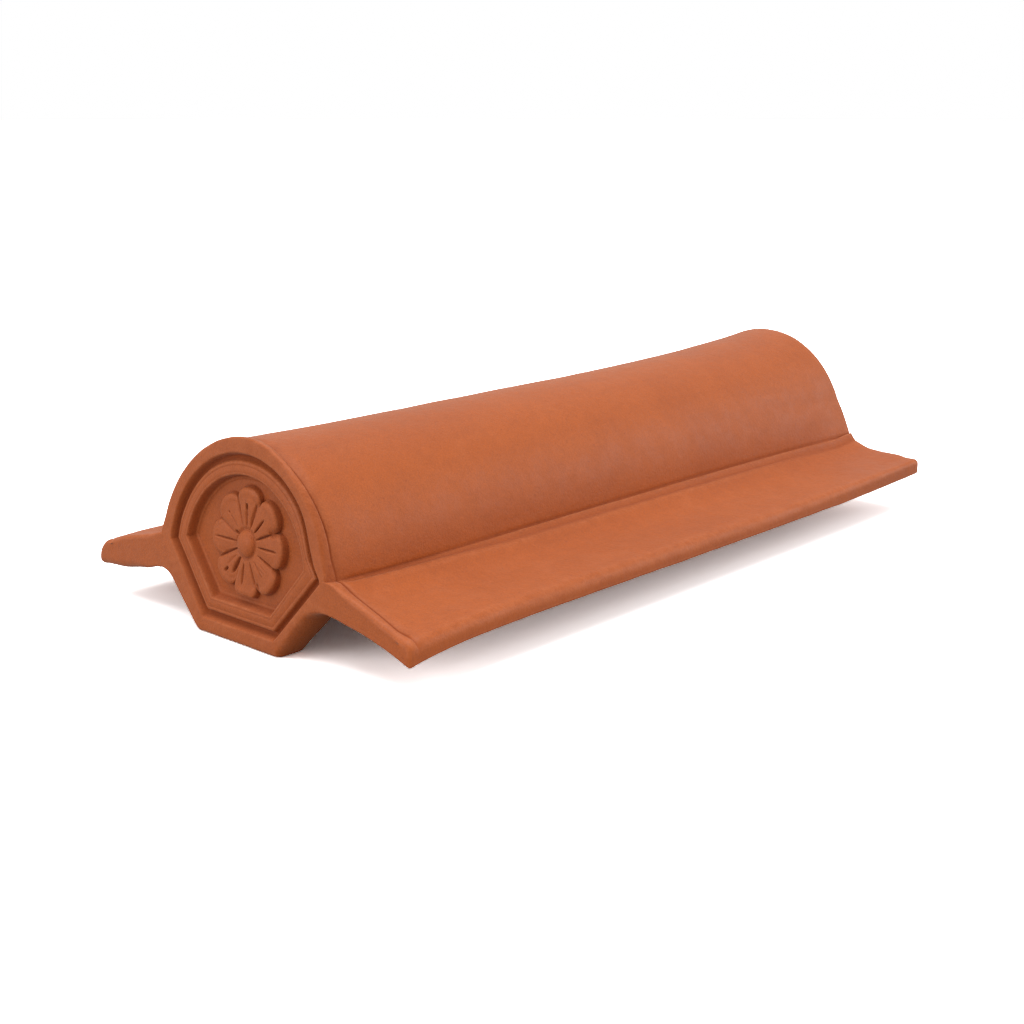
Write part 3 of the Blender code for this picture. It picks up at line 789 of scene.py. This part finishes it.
def build_face(section, shape, ring):
    """Close the front: the two wings' ends, the rim, groove, band, field and rosette."""
    s = section.s
    boss, field_depth = s.boss_radius, s.field_depth
    foot = ARCH_COLUMNS
    bottom_start = foot + 2 * UNDER_COLUMNS + EDGE_COLUMNS
    halves = []
    for side in (1, -1):
        def around(index):
            return ring[side * index]
        root = close_wing_end(shape, around, foot + UNDER_COLUMNS)
        halves.append([around(index) for index in range(1, foot)] + root
                      + [around(bottom_start + index) for index in range(1, LOWER_COLUMNS)])
    right, left = halves
    row = [ring[0]] + right + [ring[bottom_start + LOWER_COLUMNS]] + left[::-1]
    if len(PANEL) != len(row):
        raise RuntimeError("the face's rings don't match its columns")
    # each ring carries painted shade in the groove, the tool lines and the ledge
    for grow, depth, dark in panel_profile(s):
        field = [section.panel(region, side, share, grow) for region, side, share in PANEL]
        points = [section.world(side * x, depth, z)
                  for (_, side, _), (x, z) in zip(PANEL, field)]
        row = extrude_row(shape, row, points, True, dark * PANEL_SHADE)

    total = len(PANEL)
    bearings = [pi / 2.0 - tau * index / total for index in range(total)]
    own = [atan2(z - s.rosette_up, side * x)
           for (_, side, _), (x, z) in zip(PANEL, field)]
    away = [hypot(x, z - s.rosette_up) for x, z in field]

    def limit(bearing):
        """Distance from the rosette's centre to the field's edge."""
        return float(np.interp(bearing, own, away, period=tau))

    def clear(bearing):
        """Distance to the flat field round the petals."""
        return min(FIELD_REACH, 0.992 * limit(bearing))

    def spot(reach, bearing, depth):
        """A point of the face, by its bearing from the rosette's centre."""
        return section.world(reach * cos(bearing), depth,
                             s.rosette_up + reach * sin(bearing))

    # the field turns from the panel's columns to even bearings on its way in
    for share in (0.12, 0.25, 0.38, 0.5, 0.62, 0.74, 0.86, 1.0):
        late = max(0.0, 1.0 - share / 0.86)
        turned = [bearing + wrap(start - bearing) * late for start, bearing in zip(own, bearings)]
        points = [spot(mix(limit(bearing), clear(bearing), share), bearing, field_depth)
                  for bearing in turned]
        row = extrude_row(shape, row, points, True)
    petals = [min(lobe(s, bearing), 0.965 * limit(bearing)) for bearing in bearings]
    for share in (0.4, 0.75, 1.0):
        points = [spot(mix(clear(bearing), petal * 1.02, share), bearing, field_depth)
                  for bearing, petal in zip(bearings, petals)]
        row = extrude_row(shape, row, points, True)

    rings = [(1.012, 0.10), (1.0, 0.35), (0.990, 0.70), (0.978, 0.90), (0.962, 0.98)]
    rings += [(mix(0.945, 0.30, step / PETAL_RINGS), 1.0) for step in range(PETAL_RINGS + 1)]
    for share, risen in rings:
        points, marks = [], []
        for bearing, petal in zip(bearings, petals):
            reach = share * mix(boss * 1.25 / 0.30, petal, smooth(0.30, 0.75, share))
            depth = mix(field_depth, rosette_depth(s, reach, bearing, share), risen)
            points.append(spot(reach, bearing, depth))
            # painted shade in the tool strokes and pits, and round the petals' outline
            outlined = 0.5 if share > 0.985 else 0.0
            marks.append(min(1.0, tool_cuts(reach, bearing) / FULL_SHADE_DEPTH + outlined))
        row = extrude_row(shape, row, points, True, marks)
    for share in (1.15, 1.07, 1.0, 0.985, 0.96, 0.92, 0.85, 0.75, 0.62, 0.45, 0.27, 0.1):
        points = [spot(boss * share, bearing, rosette_depth(s, boss * share, bearing, 0.1))
                  for bearing in bearings]
        row = extrude_row(shape, row, points, True)
    bmesh.ops.edgeloop_fill(shape, edges=close_ring(shape, row))


def start_shape():
    """A new bmesh with the layers that extrude_row writes."""
    shape = bmesh.new()
    shape.verts.layers.int.new("order")
    # the float layer holds painted shade marks for grooves, lines and creases
    shape.verts.layers.float.new("sunk")
    return shape


def build_tile_shape():
    section = Section()
    s = section.s
    shape = start_shape()
    ring = bmesh.ops.create_circle(shape, cap_ends=False, radius=0.1,
                                   segments=len(OUTLINE))["verts"]
    front = row = list(ring)
    for vert, point in zip(row, front_ring(section, 0.0, 0)):
        vert.co = point
    for step in range(1, FRONT_TURNS + 1):
        turn = step / FRONT_TURNS
        # painted shade on the rim's outer rounding, growing down the arch
        marks = [0.45 * smooth(0.25, 0.6, share) * turn if region == "arch" else 0.0
                 for region, _, share in OUTLINE]
        row = extrude_row(shape, row, front_ring(section, turn, 0), True, marks)
    # painted shade in the scored line behind the lip and rim
    for after, (*_, dark) in enumerate(SCORED, 1):
        marks = [dark if region in ("arch", "joint", "top") else 0.0 for region, _, _ in OUTLINE]
        row = extrude_row(shape, row, front_ring(section, 1.0, after), True, marks)

    # round the plate's back edge and run over its back to the barrel's inside
    thick, soft = s.plate_thickness, s.plate_back_round
    y = FRONT_END
    rings = [(FRONT_END + RING_STEP, 0.0, 0.0), (thick - soft, 0.0, 0.0),
             (thick - soft * 0.5, -soft * 0.134, 0.0), (thick - soft * 0.134, -soft * 0.5, 0.0)]
    rings += [(thick, -soft, to_inner) for to_inner in (0.0, 0.12, 0.3, 0.5, 0.7, 0.86)]
    rings += [(thick + 0.0004, -soft, 0.95), (thick + 0.0014, -soft, 0.99)]
    for lower_back, lower_grow, to_inner in rings:
        points = body_ring(section, y, lower_back, lower_grow, to_inner)
        row = extrude_row(shape, row, points, True)
        y += RING_STEP

    start, end = y, s.length - REAR_ROUND
    for step in range(LENGTH_STATIONS + 1):
        share = step / LENGTH_STATIONS
        y = mix(start, end, mix(share, sin(pi / 2.0 * share), 0.45))
        # painted shade in the lower tooled line along the barrel's foot
        row = extrude_row(shape, row, body_ring(section, y), True, joint_shade(section, y))
    for turn in (0.35, 0.7, 1.0):
        inset, back = rounded(REAR_ROUND, 1.0 - turn)
        points = body_ring(section, s.length - back, shrink=-inset)
        row = extrude_row(shape, row, points, True)
    bmesh.ops.triangle_fill(shape, edges=close_ring(shape, row), use_beauty=True,
                            use_dissolve=False)
    build_face(section, shape, front)
    return shape


def press_by_hand(shape, height):
    """Give the surface the soft waves of pressed clay, inside the tile's own box."""
    shape.normal_update()
    moves = []
    for vert in shape.verts:
        fine = noise.noise(vert.co * 120.0 + Vector((7, 3, 5)))
        moves.append(vert.normal * (height * (noise.noise(vert.co * 38.0) + 0.45 * fine)))
    low, high = Vector(LOW), Vector(HIGH)
    for vert, move in zip(shape.verts, moves):
        spot = vert.co + move
        resting = vert.co.z < low.z + 1e-5
        for axis in range(3):
            spot[axis] = min(high[axis], max(low[axis], spot[axis]))
        if resting:
            spot.z = low.z
        vert.co = spot


def mark_edges_and_hollows(mesh):
    """Store how sharp each arris is, for the rubbed edges, and how deep each hollow is, for
    painted shade in hollows and creases.
    """
    count = len(mesh.vertices)

    def read(items, name, size, kind=float):
        values = np.empty(len(items) * size, dtype=kind)
        items.foreach_get(name, values)
        return values.reshape(-1, size)

    spots, normals = (read(mesh.vertices, name, 3) for name in ("co", "normal"))
    first, second = read(mesh.edges, "vertices", 2, np.int64).T
    ways = spots[second] - spots[first]
    lengths = np.maximum(np.linalg.norm(ways, axis=1), 1e-7)
    weights = 1.0 / np.maximum(lengths, 2e-4)
    bend, total = np.zeros(count), np.zeros(count)
    for ends, sign in ((first, 1.0), (second, -1.0)):
        lean = np.einsum("ij,ij->i", ways, normals[ends]) / lengths
        np.add.at(bend, ends, sign * weights * lean)
        np.add.at(total, ends, weights)
    bend /= np.maximum(total, 1e-9)
    for _ in range(2):
        spread = bend * total
        np.add.at(spread, first, weights * bend[second])
        np.add.at(spread, second, weights * bend[first])
        bend = spread / (2.0 * total)
    sunk = read(mesh.attributes["sunk"].data, "value", 1, np.float32).ravel()
    # the hollow mark gets the painted shade marks added to it
    for name, value, extra in (("arris", -bend, 0.0), ("hollow", bend, sunk)):
        layer = mesh.attributes.new(name, "FLOAT", "POINT")
        value = np.clip(np.clip((value - 0.02) * 5.0, 0.0, 1.0) + extra, 0.0, 1.0)
        layer.data.foreach_set("value", value.astype(np.float32))


# -------- the clay's finish, and painted shade in its hollows
def add(tree, kind, inputs=None, **values):
    """Add a node with its values and inputs. The nodes are laid out in columns of six."""
    node = tree.nodes.new(kind)
    column, row = divmod(len(tree.nodes), 6)
    node.location = (220 * column - 1400, 400 - 200 * row)
    for name, value in values.items():
        setattr(node, name, value)
    fill(tree, node, inputs or {})
    return node


def fill(tree, node, inputs):
    """Give inputs, found by name or place, a value each or a link from another socket."""
    for name, value in inputs.items():
        if isinstance(value, bpy.types.NodeSocket):
            tree.links.new(value, node.inputs[name])
        else:
            node.inputs[name].default_value = value


def clay_group():
    """Colour, roughness and height of fired clay, from object coordinates and marks. Hollows are
    darkened as painted shade.
    """
    tree = bpy.data.node_groups.new("fired_clay", "ShaderNodeTree")
    for direction, name, value in (
            ("INPUT", "Clay", (0.5, 0.16, 0.06, 1.0)), ("INPUT", "Dark", (0.3, 0.08, 0.02, 1.0)),
            ("INPUT", "Pale", (0.6, 0.27, 0.15, 1.0)), ("INPUT", "Mottle", 0.3),
            ("INPUT", "Wear", 0.5), ("INPUT", "Roughness", 0.5), ("INPUT", "Arris", 0.0),
            ("INPUT", "Hollow", 0.0), ("OUTPUT", "Colour", (0.0, 0.0, 0.0, 1.0)),
            ("OUTPUT", "Roughness", 0.0), ("OUTPUT", "Height", 0.0)):
        kind = "NodeSocketFloat" if isinstance(value, float) else "NodeSocketColor"
        socket = tree.interface.new_socket(name=name, in_out=direction, socket_type=kind)
        if direction == "INPUT":
            socket.default_value = value
    given = add(tree, "NodeGroupInput").outputs
    where = add(tree, "ShaderNodeTexCoord").outputs["Object"]

    def clouds(scale, detail, rough, source=where):
        return add(tree, "ShaderNodeTexNoise", {
            "Scale": scale, "Detail": detail, "Roughness": rough, "Vector": source}).outputs["Fac"]

    def ranged(value, low, high, out_low, out_high):
        return add(tree, "ShaderNodeMapRange", {
            "From Min": low, "From Max": high, "To Min": out_low, "To Max": out_high,
            "Value": value}, interpolation_type="SMOOTHSTEP").outputs["Result"]

    def maths(kind, first, second):
        return add(tree, "ShaderNodeMath", {0: first, 1: second}, operation=kind).outputs[0]

    def blend(first, second, share, kind="MIX"):
        return mix_colours(tree, first, second, share, kind)

    broad = clouds(17.0, 3.0, 0.55)
    patches = clouds(75.0, 4.0, 0.6)
    along = add(tree, "ShaderNodeMapping", {"Scale": (5.0, 0.35, 5.0), "Vector": where})
    streaks = clouds(26.0, 3.0, 0.55, along.outputs["Vector"])
    grain = clouds(1500.0, 3.0, 0.6)
    specks = clouds(520.0, 2.0, 0.5)
    rubs = clouds(190.0, 4.0, 0.7)
    rubbed = maths("MULTIPLY", given["Arris"], ranged(rubs, 0.38, 0.62, 0.15, 1.0))
    rubbed = maths("MULTIPLY", rubbed, given["Wear"])

    colour = given["Clay"]
    for marks, low, high, most, tint in ((broad, 0.42, 0.66, 0.6, "Dark"),
                                         (patches, 0.50, 0.72, 0.35, "Pale"),
                                         (streaks, 0.45, 0.70, 0.3, "Dark")):
        share = maths("MULTIPLY", ranged(marks, low, high, 0.0, most), given["Mottle"])
        colour = blend(colour, given[tint], share)
    colour = blend(colour, given["Dark"], ranged(specks, 0.66, 0.74, 0.0, 0.35))
    # painted shade: hollows, creases and shade marks darkened towards the dark clay
    colour = blend(colour, given["Dark"], maths("MULTIPLY", given["Hollow"], 0.65))
    colour = blend(colour, given["Pale"], rubbed)
    grained = maths("ADD", ranged(grain, 0.35, 0.65, 0.90, 1.06),
                    ranged(rubs, 0.35, 0.65, -0.03, 0.03))
    shade = add(tree, "ShaderNodeCombineColor", {0: grained, 1: grained, 2: grained})
    colour = blend(colour, shade.outputs["Color"], 1.0, "MULTIPLY")

    rough = maths("ADD", given["Roughness"], ranged(patches, 0.35, 0.7, -0.05, 0.07))
    for marks, share in ((rubbed, 0.15), (given["Hollow"], 0.35)):
        rough = maths("ADD", rough, maths("MULTIPLY", marks, share))
    height = maths("MULTIPLY", grain, 0.35)
    for marks, share in ((specks, 0.30), (rubs, 0.55)):
        height = maths("ADD", height, maths("MULTIPLY", marks, share))
    add(tree, "NodeGroupOutput", {"Colour": colour, "Roughness": rough, "Height": height})
    return tree


def mix_colours(tree, first, second, share, kind="MIX"):
    """Add a colour mix, whose sockets are found by their identifiers."""
    node = add(tree, "ShaderNodeMix", data_type="RGBA", blend_type=kind)
    places = {item.identifier: place for place, item in enumerate(node.inputs)}
    fill(tree, node, {places["Factor_Float"]: share, places["A_Color"]: first,
                      places["B_Color"]: second})
    return next(item for item in node.outputs if item.identifier == "Result_Color")


def clay_material(name, clay, roughness, mottle, wear, grain):
    """A material of fired clay with its own values in the shared group."""
    colours = bpy.context.scene.ridge_tile_colours
    material = bpy.data.materials.new(name)
    material.use_nodes = True
    material.diffuse_color = (*clay, 1.0)
    tree = material.node_tree
    arris, hollow = (add(tree, "ShaderNodeAttribute", attribute_name=mark).outputs["Fac"]
                     for mark in ("arris", "hollow"))
    finish = add(tree, "ShaderNodeGroup",
                 node_tree=bpy.data.node_groups.get("fired_clay") or clay_group())
    fill(tree, finish, {"Clay": (*clay, 1.0), "Dark": (*colours.dark_clay_and_shade, 1.0),
                        "Pale": (*colours.clay_pale, 1.0), "Mottle": mottle, "Wear": wear,
                        "Roughness": roughness, "Arris": arris, "Hollow": hollow})
    relief = add(tree, "ShaderNodeBump", {"Strength": 0.8, "Distance": grain,
                                          "Height": finish.outputs["Height"]})
    fill(tree, tree.nodes["Principled BSDF"], {
        "Base Color": finish.outputs["Colour"], "Roughness": finish.outputs["Roughness"],
        "Normal": relief.outputs["Normal"], "Specular IOR Level": 0.27, "Sheen Weight": 0.10,
        "Sheen Roughness": 0.45, "Sheen Tint": (1.0, 0.86, 0.74, 1.0)})
    return material


# -------- operators
class RIDGETILE_OT_body(bpy.types.Operator):
    """Build the clay tile: barrel, wings and the front plate with its rosette"""
    bl_idname = "ridgetile.body"
    bl_label = "Clay Tile"
    bl_options = {"REGISTER", "UNDO"}

    def execute(self, context):
        colours = context.scene.ridge_tile_colours
        material = clay_material("terracotta_face", colours.clay, 0.50, colours.mottle,
                                 colours.wear, 0.00055)
        shape = build_tile_shape()
        bmesh.ops.recalc_face_normals(shape, faces=shape.faces)
        press_by_hand(shape, context.scene.ridge_tile_sizes.unevenness)
        new_piece("tile_clay", shape, material)
        return {"FINISHED"}


class RIDGETILE_OT_web(bpy.types.Operator):
    """Build the plain cross web that carries the rear of the tile"""
    bl_idname = "ridgetile.web"
    bl_label = "Rear Web"
    bl_options = {"REGISTER", "UNDO"}

    def execute(self, context):
        material = clay_material("terracotta_raw", context.scene.ridge_tile_colours.underside,
                                 0.62, 0.4, 0.3, 0.0006)
        new_piece("rear_web", build_web_shape(Section()), material)
        return {"FINISHED"}


def build_web_shape(section):
    """A web cut like the front plate, thicker where it runs into the barrel's wall."""
    s = section.s
    half = s.web_thickness / 2.0
    middle = s.web_back - half
    flank, floor = section.flank, -section.axis_z

    def outline(grow):
        """Outer line of the web from the left foot over the top to the right foot."""
        width = s.barrel_radius - s.wall + WEB_BEDDING * grow
        height = width + s.bell_rise * section.bell(middle)
        chord = sqrt(width ** 2 - flank ** 2)
        low = atan2(flank * section.slant_z + chord * sin(s.slant_angle),
                    flank * section.slant_x + chord * cos(s.slant_angle))
        foot_x = (flank + section.axis_z * section.slant_z) / section.slant_x
        angles = [mix(pi - low, low, step / WEB_ARCH) for step in range(WEB_ARCH + 1)]
        arch = [(width * cos(angle), height * sin(angle)) for angle in angles]
        left = [(mix(-foot_x, arch[0][0], step / WEB_LEG), mix(floor, arch[0][1], step / WEB_LEG))
                for step in range(WEB_LEG)]
        return left + arch + [(-x, z) for x, z in reversed(left)]

    opening, spring = s.web_opening, 0.0020
    left = [(-opening, mix(floor, spring, step / WEB_LEG)) for step in range(WEB_LEG)]
    angles = [pi * (1.0 - step / WEB_ARCH) for step in range(WEB_ARCH + 1)]
    inner = left + [(opening * cos(angle), spring + opening * sin(angle))
                    for angle in angles] + [(-x, z) for x, z in reversed(left)]

    def points_at(share, back, grow):
        y = back + section.rear_y - s.length
        return [Vector((mix(ox, ix, share), y, mix(oz, iz, share) + section.axis_z))
                for (ox, oz), (ix, iz) in zip(outline(grow), inner)]

    # from the wall to the opening: how far along, how far from the middle, bedded or not
    profile = ((0.0, half + 0.0040, 1.0), (0.02, half + 0.0022, 0.0), (0.06, half + 0.0007, 0.0),
               (0.14, half, 0.0), (0.5, half, 0.0), (0.93, half, 0.0),
               (0.97, half - 0.3 * WEB_SOFT, 0.0), (1.0, half - WEB_SOFT, 0.0))
    rings = [points_at(share, middle - depth, grow) for share, depth, grow in profile]
    rings += [points_at(share, middle + depth, grow) for share, depth, grow in reversed(profile)]
    shape = start_shape()
    first = row = [shape.verts.new(point) for point in rings[0]]
    for before, after in zip(row, row[1:]):
        shape.edges.new((before, after))
    for ring in rings[1:]:
        row = extrude_row(shape, row, ring, False)
    closing = [shape.edges.get(pair) for line in (first, row) for pair in zip(line, line[1:])]
    bmesh.ops.bridge_loops(shape, edges=closing)
    open_edges = [edge for edge in shape.edges if edge.is_boundary]
    bmesh.ops.holes_fill(shape, edges=open_edges, sides=0)
    if any(not edge.is_manifold for edge in shape.edges):
        raise RuntimeError("the rear web isn't closed")
    return shape


class RIDGETILE_OT_stage(bpy.types.Operator):
    """Set the pale floor, the soft studio light and the camera"""
    bl_idname = "ridgetile.stage"
    bl_label = "Stage"
    bl_options = {"REGISTER", "UNDO"}

    def execute(self, context):
        scene = context.scene
        stage = scene.ridge_tile_stage
        self.floor(stage, scene.ridge_tile_colours.floor)
        self.world(scene, stage)
        for name, strength, spread, turn in LIGHTS:
            data = bpy.data.lights.new(name, "SUN")
            data.energy = stage.key * strength
            data.angle = radians(spread)
            light = bpy.data.objects.new(name, data)
            light.rotation_euler = [radians(value) for value in turn]
            scene.collection.objects.link(light)
        data = bpy.data.cameras.new("camera")
        data.sensor_width = 36.0
        data.lens = stage.lens
        data.clip_end = 200.0
        camera = bpy.data.objects.new("camera", data)
        flat = cos(stage.elevation)
        ahead = Vector((-sin(stage.azimuth) * flat, cos(stage.azimuth) * flat,
                        -sin(stage.elevation)))
        camera.location = Vector(stage.aim) - ahead * stage.distance
        camera.rotation_euler = (pi / 2.0 - stage.elevation, 0.0, stage.azimuth)
        scene.collection.objects.link(camera)
        scene.camera = camera
        scene.view_settings.view_transform = "Standard"
        return {"FINISHED"}

    @staticmethod
    def floor(stage, colour):
        """A wide matt floor: white to the camera, and greyer to the tile."""
        shape = bmesh.new()
        bmesh.ops.create_grid(shape, x_segments=2, y_segments=2, size=60.0)
        paint = bpy.data.materials.new("pale_floor")
        paint.use_nodes = True
        tree = paint.node_tree
        seen = add(tree, "ShaderNodeLightPath").outputs["Is Camera Ray"]
        white = (*[stage.white * value for value in colour], 1.0)
        fill(tree, tree.nodes["Principled BSDF"], {
            "Base Color": mix_colours(tree, (*stage.bounce, 1.0), white, seen),
            "Roughness": 0.9, "Specular IOR Level": 0.0})
        new_object("floor", shape, paint)

    @staticmethod
    def world(scene, stage):
        """Soft light from all round, which the camera sees as plain white."""
        scene.world = bpy.data.worlds.new("studio")
        scene.world.use_nodes = True
        tree = scene.world.node_tree
        soft = tree.nodes["Background"]
        white = add(tree, "ShaderNodeBackground")
        for shader, strength in ((soft, stage.sky), (white, 1.0)):
            fill(tree, shader, {"Color": (1.0, 1.0, 1.0, 1.0), "Strength": strength})
        seen = add(tree, "ShaderNodeLightPath").outputs["Is Camera Ray"]
        choose = add(tree, "ShaderNodeMixShader", {
            "Fac": seen, 1: soft.outputs["Background"], 2: white.outputs["Background"]})
        fill(tree, tree.nodes["World Output"], {"Surface": choose.outputs["Shader"]})


class RIDGETILE_PT_panel(bpy.types.Panel):
    """The tile's operators and its sizes and colours"""
    bl_idname = "RIDGETILE_PT_panel"
    bl_label = "Ridge Tile"
    bl_space_type = "VIEW_3D"
    bl_region_type = "UI"
    bl_category = "Ridge Tile"

    def draw(self, context):
        layout = self.layout
        for operator in (RIDGETILE_OT_body, RIDGETILE_OT_web, RIDGETILE_OT_stage):
            layout.operator(operator.bl_idname)
        for group in (context.scene.ridge_tile_sizes, context.scene.ridge_tile_colours,
                      context.scene.ridge_tile_stage):
            box = layout.box()
            for name in group.__annotations__:
                box.prop(group, name)


CLASSES = (RidgeTileSizes, RidgeTileColours, RidgeTileStage, RIDGETILE_OT_body,
           RIDGETILE_OT_web, RIDGETILE_OT_stage, RIDGETILE_PT_panel)


def register():
    for item in CLASSES:
        bpy.utils.register_class(item)
    bpy.types.Scene.ridge_tile_sizes = bpy.props.PointerProperty(type=RidgeTileSizes)
    bpy.types.Scene.ridge_tile_colours = bpy.props.PointerProperty(type=RidgeTileColours)
    bpy.types.Scene.ridge_tile_stage = bpy.props.PointerProperty(type=RidgeTileStage)


def unregister():
    for name in ("ridge_tile_stage", "ridge_tile_colours", "ridge_tile_sizes"):
        delattr(bpy.types.Scene, name)
    for item in reversed(CLASSES):
        bpy.utils.unregister_class(item)


def main():
    register()
    bpy.ops.ridgetile.body()
    bpy.ops.ridgetile.web()
    bpy.ops.ridgetile.stage()


if __name__ == "__main__":
    main()
